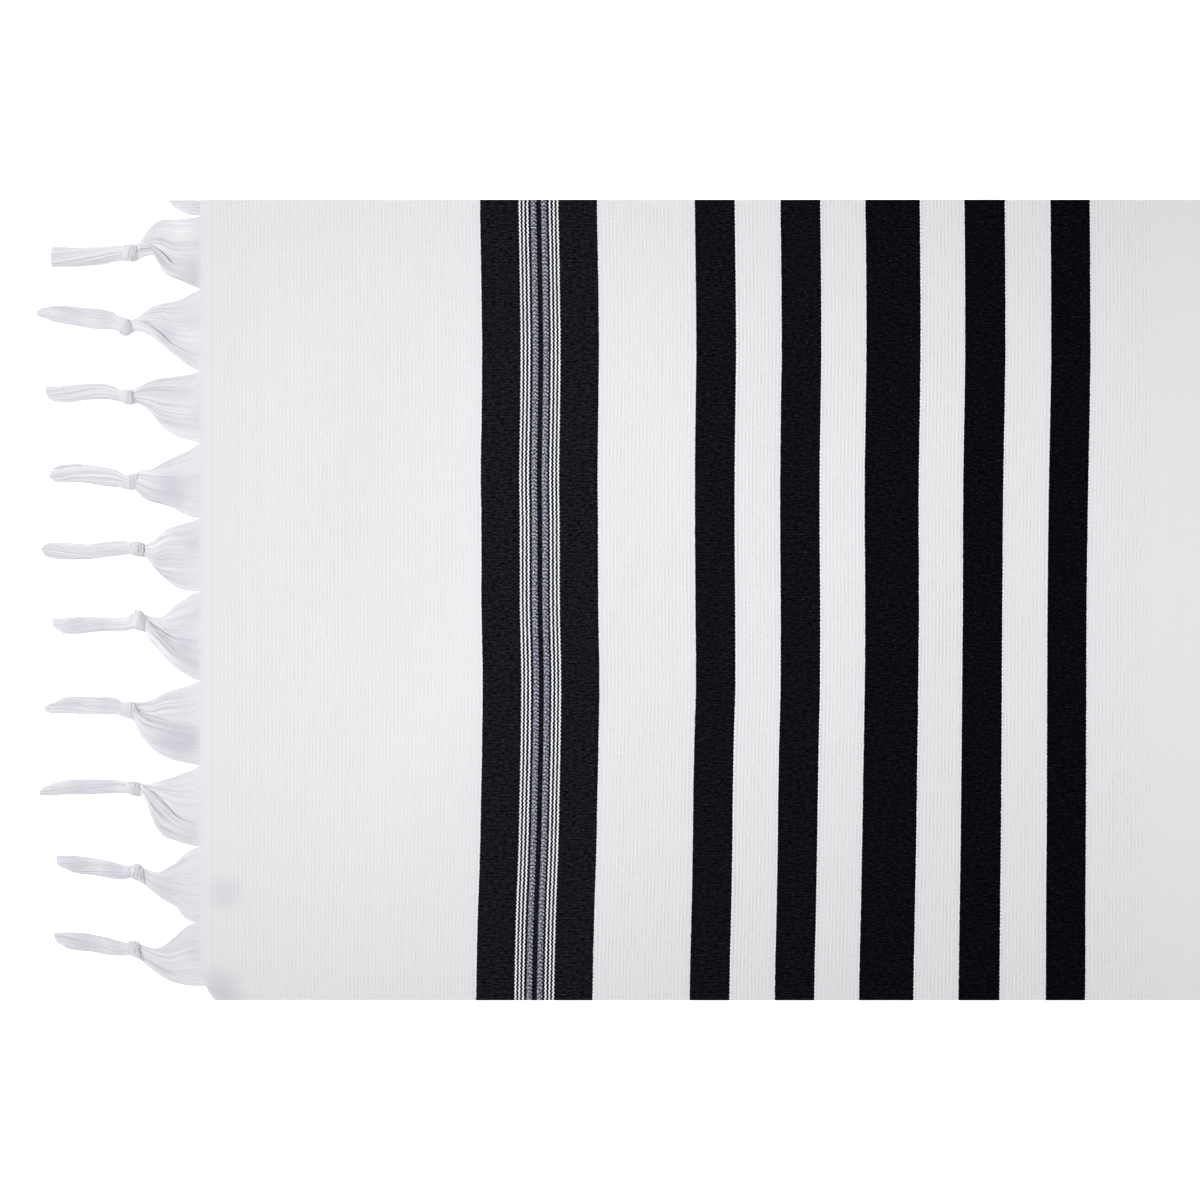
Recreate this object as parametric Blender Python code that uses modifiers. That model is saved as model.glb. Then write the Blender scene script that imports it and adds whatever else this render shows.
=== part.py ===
"""A tallit prayer shawl lying flat on a surface.

One woven cloth, 450 mm wide, lies with its stripes across it and a few low ripples in it. At each end its
own warp threads are gathered into ten knotted tassels, and a short loose wisp is left at one selvedge.
Metres, +Z up. X runs along the shawl, Y across it, and Z = 0 is the surface that it lies on.
"""

import math
from collections import namedtuple

import bmesh
import bpy

MM = 0.001

# The whole shawl and its cloth
SHAWL_LENGTH = 1800 * MM
FRINGE_REACH = 91.7 * MM
CLOTH_LENGTH = SHAWL_LENGTH - 2 * FRINGE_REACH
CLOTH_WIDTH = 450 * MM
CLOTH_WALL = 1.2 * MM
GRID_ALONG = 54
GRID_ACROSS = 15

# Distances kept between pieces
SEAM_GAP = 0.3 * MM
NEIGHBOUR_GAP = 0.4 * MM

# Sections of a tassel: where they lie, from the end of the cloth outwards, and how thick the threads lie there
FAN_REACH = 14 * MM
TURN_REACH = 24 * MM
TAIL_REACH = 58 * MM
NECK_LENGTH = 3 * MM
KNOT_LENGTH = 9 * MM
KNOT_SHOULDER = 0.85
TAIL_START = 4 * MM
TIP_LENGTH = 9 * MM
FAN_HEIGHT = 1.8 * MM
TURN_HEIGHT = 3.0 * MM
NECK_HEIGHT = 5.0 * MM
KNOT_HEIGHT = 8.0 * MM
TAIL_HEIGHT = 4.6 * MM
TIP_HEIGHT = 3.2 * MM
NECK_WIDTH = 9.0 * MM
TAIL_WIDTH = 10.0 * MM
TIP_WIDTH = 7.0 * MM
SECTION_POINTS = 9
SECTION_FULLNESS = 0.6

# Low ripples of the cloth, in millimetres and degrees: centre, half length, half width, turn and rise
Ripple = namedtuple("Ripple", "x y half_length half_width turn rise")
RIPPLES = (
    Ripple(-745, 85, 120, 50, 78, 1.5),
    Ripple(-640, -60, 150, 60, 62, 2.2),
    Ripple(-520, 110, 115, 52, 108, 1.4),
    Ripple(-430, -45, 170, 62, 84, 2.1),
    Ripple(-275, 75, 130, 58, 118, 1.8),
    Ripple(-130, -70, 150, 60, 70, 2.3),
    Ripple(45, 65, 160, 65, 97, 2.6),
    Ripple(215, -75, 125, 55, 60, 1.7),
    Ripple(365, 70, 140, 60, 112, 2.2),
    Ripple(530, -50, 165, 58, 83, 1.9),
    Ripple(690, 70, 125, 54, 101, 1.5),
)

# The ten tassels of an end, in millimetres. hi and lo are the two edges of the fan of threads, measured across
# the shawl at its root, at FAN_REACH and at TURN_REACH. The rest are the middle line and the knot.
Tassel = namedtuple(
    "Tassel",
    "root_hi root_lo fan_hi fan_lo turn_hi turn_lo neck_y knot_reach knot_y knot_width tail_y tip_reach tip_y",
)
TASSELS = (
    Tassel(216.0, 174.7, 214.3, 181.7, 212.1, 190.7, 197.5, 38.8, 195.0, 9.5, 193.8, 83.8, 193.2),
    Tassel(174.7, 129.0, 168.2, 138.4, 165.9, 147.4, 154.7, 41.6, 153.6, 10.0, 158.6, 91.7, 161.7),
    Tassel(129.0, 88.5, 125.4, 93.4, 124.3, 102.4, 115.3, 40.5, 114.5, 8.4, 117.6, 86.1, 115.6),
    Tassel(88.5, 46.0, 79.9, 52.3, 74.8, 55.1, 66.9, 39.4, 66.7, 9.0, 70.3, 83.3, 70.9),
    Tassel(46.0, 4.5, 41.6, 8.4, 34.3, 18.0, 28.1, 34.9, 29.3, 8.0, 27.8, 88.3, 28.7),
    Tassel(4.5, -45.6, -3.4, -36.6, -10.1, -25.3, -15.2, 33.8, -11.4, 11.0, -13.2, 82.1, -14.1),
    Tassel(-45.6, -93.1, -50.1, -89.4, -54.0, -83.8, -62.7, 40.2, -61.3, 9.0, -58.8, 86.6, -59.6),
    Tassel(-93.1, -138.4, -99.0, -134.4, -102.4, -126.6, -107.4, 37.1, -105.8, 8.4, -104.6, 88.9, -106.3),
    Tassel(-138.4, -181.1, -148.5, -171.6, -153.0, -164.8, -155.3, 34.9, -152.4, 8.4, -149.9, 79.9, -146.3),
    Tassel(-181.1, -217.1, -190.1, -214.3, -195.8, -208.7, -198.6, 36.3, -195.6, 9.0, -192.9, 81.6, -190.1),
)

# The loose wisp beside the first tassel, in millimetres
WISP_ROOT = 216.6 * MM
WISP_MIDDLE = 220.5 * MM
WISP_EDGE = 224.8 * MM
WISP_TIP = 223.6 * MM
WISP_MIDDLE_REACH = 11 * MM
WISP_REACH = 17.6 * MM

Section = namedtuple("Section", "reach hi lo height")
Finish = namedtuple("Finish", "name color roughness")
WOVEN = Finish("woven_cloth", (0.80, 0.80, 0.82, 1.0), 0.85)
THREAD = Finish("tassel_thread", (0.82, 0.81, 0.85, 1.0), 0.75)


def clear_scene():
    """Remove every object that the file opened with."""
    for obj in list(bpy.data.objects):
        bpy.data.objects.remove(obj, do_unlink=True)


def new_collection(name):
    """A collection linked to the scene, for the shawl's pieces."""
    collection = bpy.data.collections.new(name)
    bpy.context.scene.collection.children.link(collection)
    return collection


def add_material(obj, finish):
    """Give an object a material of its own, with the finish's colour and roughness."""
    material = bpy.data.materials.new(f"{obj.name}_{finish.name}")
    material.use_nodes = True
    shader = material.node_tree.nodes["Principled BSDF"]
    shader.inputs["Base Color"].default_value = finish.color
    shader.inputs["Roughness"].default_value = finish.roughness
    shader.inputs["Metallic"].default_value = 0.0
    obj.data.materials.append(material)


def add_object(bm, name, collection, finish):
    """Turn a bmesh into a named object with its material."""
    mesh = bpy.data.meshes.new(name)
    bm.to_mesh(mesh)
    bm.free()
    obj = bpy.data.objects.new(name, mesh)
    collection.objects.link(obj)
    add_material(obj, finish)
    return obj


def bump(distance):
    """A soft hump: 1 at its middle, falling smoothly to 0 at a distance of 1 and beyond."""
    if abs(distance) >= 1:
        return 0.0
    return (1 - distance * distance) ** 2


def lift_at(x, y):
    """How high the cloth's ripples raise its underside at a point."""
    lift = 0.0
    for ripple in RIPPLES:
        turn = math.radians(ripple.turn)
        dx = x - ripple.x * MM
        dy = y - ripple.y * MM
        along = dx * math.cos(turn) + dy * math.sin(turn)
        across = dy * math.cos(turn) - dx * math.sin(turn)
        fade = bump(along / (ripple.half_length * MM)) * bump(across / (ripple.half_width * MM))
        lift += ripple.rise * MM * fade
    return lift


def build_cloth(collection):
    """The woven cloth: a grid that lies on the surface, lifted by its ripples and given the wall's thickness."""
    bm = bmesh.new()
    bmesh.ops.create_grid(bm, x_segments=GRID_ALONG, y_segments=GRID_ACROSS, size=0.5)
    for vert in bm.verts:
        x = vert.co.x * CLOTH_LENGTH
        y = vert.co.y * CLOTH_WIDTH
        vert.co = (x, y, lift_at(x, y))
    cloth = add_object(bm, "cloth", collection, WOVEN)
    cloth.data.shade_smooth()
    wall = cloth.modifiers.new("wall", "SOLIDIFY")
    wall.thickness = CLOTH_WALL
    wall.offset = 1.0
    return cloth


def tassel_sections(tassel):
    """The sections of a tassel from its root to its cut tip, in metres."""

    def around(reach, middle, width, height):
        return Section(reach, middle + width / 2, middle - width / 2, height)

    knot_reach = tassel.knot_reach * MM
    knot_y = tassel.knot_y * MM
    knot_width = tassel.knot_width * MM
    shoulder_width = knot_width * KNOT_SHOULDER
    shoulder_height = KNOT_HEIGHT * KNOT_SHOULDER
    knot_near = knot_reach - KNOT_LENGTH / 2
    knot_far = knot_reach + KNOT_LENGTH / 2
    tip_reach = tassel.tip_reach * MM
    root_hi = tassel.root_hi * MM - NEIGHBOUR_GAP
    root_lo = tassel.root_lo * MM + NEIGHBOUR_GAP
    return (
        Section(SEAM_GAP, root_hi, root_lo, CLOTH_WALL),
        Section(FAN_REACH, tassel.fan_hi * MM, tassel.fan_lo * MM, FAN_HEIGHT),
        Section(TURN_REACH, tassel.turn_hi * MM, tassel.turn_lo * MM, TURN_HEIGHT),
        around(knot_near - NECK_LENGTH, tassel.neck_y * MM, NECK_WIDTH, NECK_HEIGHT),
        around(knot_near, knot_y, shoulder_width, shoulder_height),
        around(knot_reach, knot_y, knot_width, KNOT_HEIGHT),
        around(knot_far, knot_y, shoulder_width, shoulder_height),
        around(knot_far + TAIL_START, knot_y, TAIL_WIDTH * KNOT_SHOULDER, TAIL_HEIGHT),
        around(TAIL_REACH, tassel.tail_y * MM, TAIL_WIDTH, TAIL_HEIGHT),
        around(tip_reach - TIP_LENGTH, tassel.tip_y * MM, TAIL_WIDTH, TAIL_HEIGHT),
        around(tip_reach, tassel.tip_y * MM, TIP_WIDTH, TIP_HEIGHT),
    )


def wisp_sections():
    """The sections of the loose wisp at the selvedge, in metres."""
    return (
        Section(SEAM_GAP, WISP_EDGE, WISP_ROOT, CLOTH_WALL),
        Section(WISP_MIDDLE_REACH, WISP_EDGE, WISP_MIDDLE, FAN_HEIGHT),
        Section(WISP_REACH, WISP_EDGE, WISP_TIP, CLOTH_WALL),
    )


def section_loop(bm, section):
    """One section as a closed loop of edges: flat on the surface below, rounded above."""
    middle = (section.hi + section.lo) / 2
    half = (section.hi - section.lo) / 2
    verts = []
    for step in range(SECTION_POINTS):
        angle = math.pi * step / (SECTION_POINTS - 1)
        height = section.height * max(math.sin(angle), 0.0) ** SECTION_FULLNESS
        if step in (0, SECTION_POINTS - 1):
            height = 0.0
        verts.append(bm.verts.new((section.reach, middle + half * math.cos(angle), height)))
    return [bm.edges.new((vert, verts[index - 1])) for index, vert in enumerate(verts)]


def build_bundle(name, sections, end, collection):
    """A closed solid lofted through the sections of a bundle of threads, at one end of the cloth.

    end is -1 for the end at -X and 1 for the other, which is the first turned half round.
    """
    bm = bmesh.new()
    loops = [section_loop(bm, section) for section in sections]
    for near, far in zip(loops, loops[1:]):
        bmesh.ops.bridge_loops(bm, edges=near + far)
    for loop in (loops[0], loops[-1]):
        bmesh.ops.contextual_create(bm, geom=loop)
    for vert in bm.verts:
        reach, across, height = vert.co
        vert.co = (end * (CLOTH_LENGTH / 2 + reach), -end * across, height)
    bmesh.ops.recalc_face_normals(bm, faces=bm.faces)
    if bm.calc_volume(signed=True) < 0:
        bmesh.ops.reverse_faces(bm, faces=bm.faces)
    bundle = add_object(bm, name, collection, THREAD)
    bundle.data.shade_smooth()
    bundle.data.set_sharp_from_angle(angle=math.radians(40))


def build_fringe(end_name, end, collection):
    """The ten tassels and the wisp of one end of the shawl."""
    for number, tassel in enumerate(TASSELS, start=1):
        build_bundle(f"tassel_{end_name}_{number:02d}", tassel_sections(tassel), end, collection)
    build_bundle(f"wisp_{end_name}", wisp_sections(), end, collection)


def main():
    """Build the shawl."""
    clear_scene()
    collection = new_collection("tallit_prayer_shawl")
    build_cloth(collection)
    build_fringe("left", -1, collection)
    build_fringe("right", 1, collection)


main()
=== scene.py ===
"""Looks of a tallit prayer shawl that lies flat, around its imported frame.

The file is laid out as a Blender add-on. Run as a script, it weaves the cloth with its stripes, ties the
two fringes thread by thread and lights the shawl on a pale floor.
Metres, +Z up. The shawl runs along X, its stripes along Y, and its left end is at -X.
"""

import math
import random
from collections import namedtuple

import bmesh
import bpy
from bpy.props import FloatProperty, FloatVectorProperty, IntProperty, PointerProperty
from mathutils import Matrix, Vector, noise


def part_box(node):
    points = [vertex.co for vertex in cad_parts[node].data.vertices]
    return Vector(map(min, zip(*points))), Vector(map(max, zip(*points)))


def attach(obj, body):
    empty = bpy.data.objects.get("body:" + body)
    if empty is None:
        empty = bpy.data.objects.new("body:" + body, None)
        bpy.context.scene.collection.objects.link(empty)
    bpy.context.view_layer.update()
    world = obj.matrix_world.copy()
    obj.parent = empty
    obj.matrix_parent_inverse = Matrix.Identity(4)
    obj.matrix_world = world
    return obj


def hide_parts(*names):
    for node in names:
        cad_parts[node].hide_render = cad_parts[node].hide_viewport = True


bl_info = {
    "name": "Tallit Prayer Shawl",
    "version": (1, 0, 0),
    "blender": (4, 5, 0),
    "location": "View3D > Sidebar > Shawl",
    "description": "Weaves a striped prayer shawl and ties its fringes thread by thread",
    "category": "Add Mesh",
}

MM = 0.001
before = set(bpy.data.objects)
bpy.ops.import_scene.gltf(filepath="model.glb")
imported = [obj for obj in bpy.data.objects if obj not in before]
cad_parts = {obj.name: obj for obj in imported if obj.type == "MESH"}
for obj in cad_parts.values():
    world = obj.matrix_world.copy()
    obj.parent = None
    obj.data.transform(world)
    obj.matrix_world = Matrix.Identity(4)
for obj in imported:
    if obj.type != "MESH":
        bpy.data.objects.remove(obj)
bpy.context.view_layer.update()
CLOTH_LOW, CLOTH_HIGH = (Vector(corner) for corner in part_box("cloth"))
CLOTH_LENGTH = CLOTH_HIGH.x - CLOTH_LOW.x
CLOTH_WIDTH = CLOTH_HIGH.y - CLOTH_LOW.y
HALF_LENGTH = CLOTH_LENGTH / 2
HALF_WIDTH = CLOTH_WIDTH / 2

# Low ripples of the cloth, in millimetres and degrees: centre, half length, half width, turn and rise
Ripple = namedtuple("Ripple", "x y half_length half_width turn rise")
RIPPLES = (
    Ripple(-745, 85, 120, 50, 78, 1.5),
    Ripple(-640, -60, 150, 60, 62, 2.2),
    Ripple(-520, 110, 115, 52, 108, 1.4),
    Ripple(-430, -45, 170, 62, 84, 2.1),
    Ripple(-275, 75, 130, 58, 118, 1.8),
    Ripple(-130, -70, 150, 60, 70, 2.3),
    Ripple(45, 65, 160, 65, 97, 2.6),
    Ripple(215, -75, 125, 55, 60, 1.7),
    Ripple(365, 70, 140, 60, 112, 2.2),
    Ripple(530, -50, 165, 58, 83, 1.9),
    Ripple(690, 70, 125, 54, 101, 1.5),
)
# How far the cloth rises at most between its ripples
UNEVENNESS = 0.35 * MM

# How far the woven stripes have crept towards the middle of the shawl, in millimetres, at places across
# it: at the wide stripe, the second, the middle and the last. CREEP_STATIONS are their distances from the
# fringe, between the two where nothing creeps.
Creep = namedtuple("Creep", "across wide second middle last")
CREEPS = (
    Creep(-222, -2.4, -2.3, -2.5, -1.3),
    Creep(-202, -2.0, -2.0, -2.2, -1.2),
    Creep(-180, -1.5, -1.4, -1.7, -1.2),
    Creep(-135, 0.1, -0.6, -0.9, -0.9),
    Creep(-112, 0.6, -0.4, -0.6, -0.8),
    Creep(-79, 1.3, 0.2, -0.1, -0.7),
    Creep(-45, 1.6, 1.1, 0.4, -0.6),
    Creep(0, 0.8, 0.9, 0.7, -0.4),
    Creep(45, 0.7, 0.6, 0.5, 0.1),
    Creep(68, 0.4, 0.6, 0.6, 0.4),
    Creep(112, 1.0, 1.0, 1.3, 1.2),
    Creep(141, 1.2, 1.4, 1.6, 1.6),
    Creep(169, 0.9, 1.2, 1.6, 1.6),
    Creep(222, 0.0, 0.6, 1.1, 1.3),
)
CREEP_STATIONS = (0.0, 190 * MM, 289 * MM, 388 * MM, 488 * MM, HALF_LENGTH)
# The last warp threads tug one corner of each end inwards: by how much, and how far across that
# reaches. The fringe's threads begin where the pulled cloth ends, and that pull dies out over PULL_FADE
# millimetres.
CORNER_PULL = 8.5 * MM
CORNER_REACH = 8.5 * MM
PULL_FADE = 14.0

# Stripes of one end, from the fringe inwards: their two edges in millimetres, and their black. The blacks
# are painted lighter nearer the fringe: painted light for the stray light that lifts them there.
Stripe = namedtuple("Stripe", "name start end color")
STRIPES = (
    Stripe("wide", 157.6, 223.2, "#16151B"),
    Stripe("second", 277.7, 300.1, "#100F14"),
    Stripe("third", 325.6, 347.9, "#0E0D13"),
    Stripe("middle", 373.1, 403.6, "#0B0A10"),
    Stripe("fifth", 428.6, 451.3, "#09080E"),
    Stripe("last", 476.9, 499.0, "#08070D"),
)
# Lines inside the wide stripe, on each side of its middle, in millimetres from it
Line = namedtuple("Line", "start end")
TWISTED_LINE = Line(1.45, 4.40)
PINSTRIPES = (Line(5.80, 6.75), Line(8.00, 8.95), Line(10.10, 11.05))

# Tassels of one end, in millimetres: reach is from the fringe's root, and hi and lo are the two edges
# across. The fan's edges are at FAN_STEPS of the way to the neck, which is NECK_GAP before the knot's
# middle, the knot's are at KNOT_STEPS from its middle, and the tail's at TAIL_STEPS of the way from
# TAIL_GAP past it to TIP_GAP before the tip. cut_hi and cut_lo are how much shorter the tip's edges are
# cut than its longest thread. The twists are in degrees: of the fan at the knot, and of the tail as far
# as the tip. lean is how far the knot's turns slant, and swell how high they rise over its middle.
NECK_GAP = 6.0
TAIL_GAP = 7.5
TIP_GAP = 6.0
FAN_STEPS = (0.0, 0.15, 0.3, 0.45, 0.6, 0.8, 1.0)
KNOT_STEPS = (-4.0, -2.0, 0.0, 2.0, 4.0)
TAIL_STEPS = (0.0, 0.25, 0.5, 0.75, 1.0)
Tassel = namedtuple(
    "Tassel",
    "fan_hi fan_lo knot_hi knot_lo tail_hi tail_lo knot_reach tip_reach cut_hi cut_lo "
    "fan_twist tail_twist lean swell",
)
TASSELS = (
    Tassel(
        fan_hi=(215.7, 214.8, 214.3, 214.4, 214.1, 210.9, 202.3),
        fan_lo=(174.7, 177.0, 179.1, 181.0, 183.6, 193.5, 191.6),
        knot_hi=(200.5, 200.2, 200.0, 199.8, 199.5), knot_lo=(190.2, 189.6, 189.8, 189.8, 190.1),
        tail_hi=(199.1, 198.6, 198.3, 198.2, 198.5), tail_lo=(190.5, 188.4, 187.8, 187.2, 187.2),
        knot_reach=38.8, tip_reach=83.8, cut_hi=1.0, cut_lo=0.5,
        fan_twist=25, tail_twist=60, lean=0.5, swell=2.4,
    ),
    Tassel(
        fan_hi=(174.7, 171.9, 169.0, 167.8, 166.7, 163.8, 158.3),
        fan_lo=(129.0, 131.4, 135.5, 139.3, 143.8, 148.8, 150.7),
        knot_hi=(158.2, 158.4, 158.7, 159.2, 159.8), knot_lo=(149.9, 148.6, 148.0, 148.3, 150.5),
        tail_hi=(162.0, 163.9, 164.6, 165.5, 165.5), tail_lo=(152.3, 152.3, 153.7, 155.3, 156.8),
        knot_reach=41.6, tip_reach=91.7, cut_hi=12, cut_lo=12.5,
        fan_twist=20, tail_twist=-50, lean=1.3, swell=2.2,
    ),
    Tassel(
        fan_hi=(129.0, 126.8, 126.2, 125.6, 125.0, 123.2, 119.7),
        fan_lo=(88.5, 89.8, 91.3, 93.5, 97.0, 105.5, 110.2),
        knot_hi=(118.9, 118.6, 118.3, 118.3, 118.6), knot_lo=(109.9, 109.5, 109.5, 110.1, 110.8),
        tail_hi=(120.0, 122.0, 121.6, 120.8, 120.0), tail_lo=(112.3, 112.9, 112.4, 111.1, 111.4),
        knot_reach=40.5, tip_reach=86.6, cut_hi=0.5, cut_lo=6,
        fan_twist=25, tail_twist=40, lean=0.8, swell=2.0,
    ),
    Tassel(
        fan_hi=(88.5, 84.5, 81.8, 79.7, 77.4, 73.7, 72.5),
        fan_lo=(46.0, 47.2, 49.3, 52.1, 53.6, 55.0, 59.0),
        knot_hi=(71.9, 71.2, 70.9, 71.0, 71.7), knot_lo=(60.8, 61.2, 61.5, 62.0, 62.7),
        tail_hi=(73.2, 74.8, 76.0, 76.6, 76.0), tail_lo=(63.3, 64.3, 65.6, 66.3, 66.2),
        knot_reach=39.4, tip_reach=84.4, cut_hi=6, cut_lo=5,
        fan_twist=-30, tail_twist=60, lean=-1.0, swell=1.0,
    ),
    Tassel(
        fan_hi=(46.0, 44.2, 42.9, 42.1, 40.5, 36.0, 32.0),
        fan_lo=(4.5, 5.2, 5.8, 7.2, 10.2, 15.5, 23.0),
        knot_hi=(32.4, 32.9, 33.2, 33.0, 32.9), knot_lo=(23.6, 24.0, 24.3, 24.7, 25.5),
        tail_hi=(33.6, 32.8, 31.4, 32.0, 32.5), tail_lo=(25.3, 24.1, 23.0, 22.6, 23.3),
        knot_reach=34.9, tip_reach=88.9, cut_hi=6, cut_lo=6,
        fan_twist=20, tail_twist=-60, lean=0.0, swell=2.4,
    ),
    Tassel(
        fan_hi=(4.5, 3.2, 0.3, -2.2, -5.8, -9.9, -9.2),
        fan_lo=(-45.6, -43.7, -41.3, -38.7, -35.0, -28.4, -23.2),
        knot_hi=(-7.8, -6.4, -5.4, -5.2, -7.2), knot_lo=(-19.1, -17.7, -17.4, -17.1, -17.0),
        tail_hi=(-10.1, -9.9, -9.4, -9.4, -10.4), tail_lo=(-17.4, -17.6, -17.9, -19.0, -19.0),
        knot_reach=33.8, tip_reach=82.7, cut_hi=0, cut_lo=8,
        fan_twist=-30, tail_twist=50, lean=0.7, swell=2.4,
    ),
    Tassel(
        fan_hi=(-45.6, -47.6, -49.0, -50.3, -52.2, -56.0, -57.2),
        fan_lo=(-93.1, -92.0, -90.9, -89.5, -87.2, -82.4, -73.4),
        knot_hi=(-56.8, -56.7, -56.6, -56.7, -56.3), knot_lo=(-69.1, -67.1, -66.6, -66.0, -65.3),
        tail_hi=(-54.9, -54.0, -54.0, -54.0, -56.7), tail_lo=(-64.3, -64.2, -64.2, -63.7, -63.7),
        knot_reach=40.2, tip_reach=87.2, cut_hi=11, cut_lo=5,
        fan_twist=20, tail_twist=-45, lean=-0.6, swell=1.0,
    ),
    Tassel(
        fan_hi=(-93.1, -95.8, -97.3, -99.0, -100.6, -102.4, -103.3),
        fan_lo=(-138.4, -137.7, -136.5, -134.8, -133.4, -125.8, -110.6),
        knot_hi=(-102.2, -101.7, -101.6, -101.7, -101.7), knot_lo=(-110.9, -110.3, -109.8, -109.3, -108.8),
        tail_hi=(-101.3, -100.7, -100.6, -101.0, -103.1), tail_lo=(-108.7, -108.8, -109.3, -109.3, -109.8),
        knot_reach=37.1, tip_reach=90.2, cut_hi=10, cut_lo=1,
        fan_twist=20, tail_twist=55, lean=0.3, swell=2.2,
    ),
    Tassel(
        fan_hi=(-138.4, -140.5, -143.2, -147.3, -150.0, -152.9, -151.5),
        fan_lo=(-181.1, -180.8, -178.5, -172.5, -170.1, -166.3, -161.6),
        knot_hi=(-149.9, -148.3, -147.8, -148.2, -149.0), knot_lo=(-159.8, -158.5, -157.6, -156.8, -156.6),
        tail_hi=(-149.0, -146.6, -145.0, -143.9, -143.4), tail_lo=(-157.0, -156.6, -154.9, -154.0, -152.6),
        knot_reach=34.9, tip_reach=80.4, cut_hi=0.5, cut_lo=11,
        fan_twist=-30, tail_twist=65, lean=0.8, swell=2.4,
    ),
    Tassel(
        fan_hi=(-181.1, -182.1, -185.4, -189.5, -192.8, -195.6, -194.5),
        fan_lo=(-217.1, -216.8, -216.2, -215.1, -213.2, -209.4, -204.5),
        knot_hi=(-193.0, -191.4, -191.0, -191.0, -191.9), knot_lo=(-202.7, -201.4, -200.5, -199.9, -199.8),
        tail_hi=(-191.9, -189.4, -187.9, -186.7, -186.5), tail_lo=(-199.9, -199.6, -197.7, -197.0, -195.6),
        knot_reach=36.3, tip_reach=81.6, cut_hi=0.5, cut_lo=9,
        fan_twist=-35, tail_twist=-55, lean=0.8, swell=2.4,
    ),
)
# The tassels whose lower strand is folded over the rest: the upper edge of that strand at FOLD_STEPS of
# the way to the neck, by the tassel's number from the top, in millimetres
FOLD_STEPS = (0.0, 0.43, 0.73, 1.0)
FOLDED_STRANDS = {
    1: (186.5, 188.5, 198.6, 201.0),
    2: (137.0, 144.0, 154.0, 157.6),
    6: (-23.0, -22.0, -18.0, -12.5),
    7: (-70.0, -68.0, -65.5, -62.0),
    8: (-127.0, -121.0, -109.5, -104.5),
}
# How high above the floor a bundle of threads starts and how high it is, in millimetres, at LIFT_STEPS
# of the way to the neck: a plain fan, the strand that is folded over a fan, and the rest of that fan
Lift = namedtuple("Lift", "floors heights")
LIFT_STEPS = (0.0, 0.45, 0.75, 1.0)
PLAIN_LIFT = Lift((0.0, 0.0, 0.0, 0.0), (1.5, 2.4, 3.8, 4.8))
STRAND_LIFT = Lift((0.0, 0.4, 1.6, 2.2), (1.5, 4.2, 4.8, 4.4))
REST_LIFT = Lift((0.0, 0.0, 0.0, 0.0), (1.5, 2.2, 3.2, 3.4))
# The same within the knot, and the tail's height at the knot and how much lower it is at the tip
KNOT_FLOOR = 0.6
KNOT_HEIGHT = 4.3
TAIL_HEIGHT = 4.4
TAIL_THINNING = 0.6
# The clefts between the strands of a gathered bundle: how often they come in half a turn round it, and
# how deep they are as a share of its half height
Clefts = namedtuple("Clefts", "number depth")
PLAIN_CLEFTS = Clefts(3.5, 0.32)
STRAND_CLEFTS = Clefts(6.5, 0.65)
# Spacing of the threads where their bundle is widest, and how far out they have come loose, in
# millimetres. How far a loose thread strays by itself, and how far a group rises and sinks together.
THREAD_PITCH = 1.0
LOOSE_REACH = 12.0
THREAD_STRAY = 0.16
GROUP_STRAY = 0.4
# Points along a thread's fan and along its tail
FAN_STOPS = 14
TAIL_STOPS = 9
# The turns of a knot's yarn: how far the outermost lie from its middle and how high the middle of a
# turn lies, in millimetres, the points along a turn, and where round the knot it begins and how far it
# goes, in degrees
TURN_REACH = 3.6
TURN_HEIGHT = 3.5
TURN_POINTS = 16
TURN_START = -100
TURN_SWEEP = 370
# Lit and shaded copies of the one yarn, painted light and shade for how unevenly its threads catch the
# light: how bright each copy is, and how many threads of nine have it
YARN_SHADES = ((1.09, 3), (1.0, 4), (0.88, 2))
# How far out from the cloth the yarn is painted lighter, fading to nothing, in millimetres
ROOT_FADE = 21.0
# The knots whose yarn is speckled by handling, by the tassel's number from the top. On the ninth and
# tenth, which lie in shadow, the specks also stand as painted shade.
SPECKLED_AND_SHADED_KNOTS = (5, 8, 9, 10)
# The wisp beside the selvedge, in millimetres: its edges at the root, its reach, and how much further
# each thread goes than the one before it
WISP_THREADS = 8
WISP_ROOT_LO = 216.6
WISP_ROOT_HI = 224.4
WISP_REACH = 17.6
WISP_STAGGER = 0.35
WISP_POINTS = 8

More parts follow.
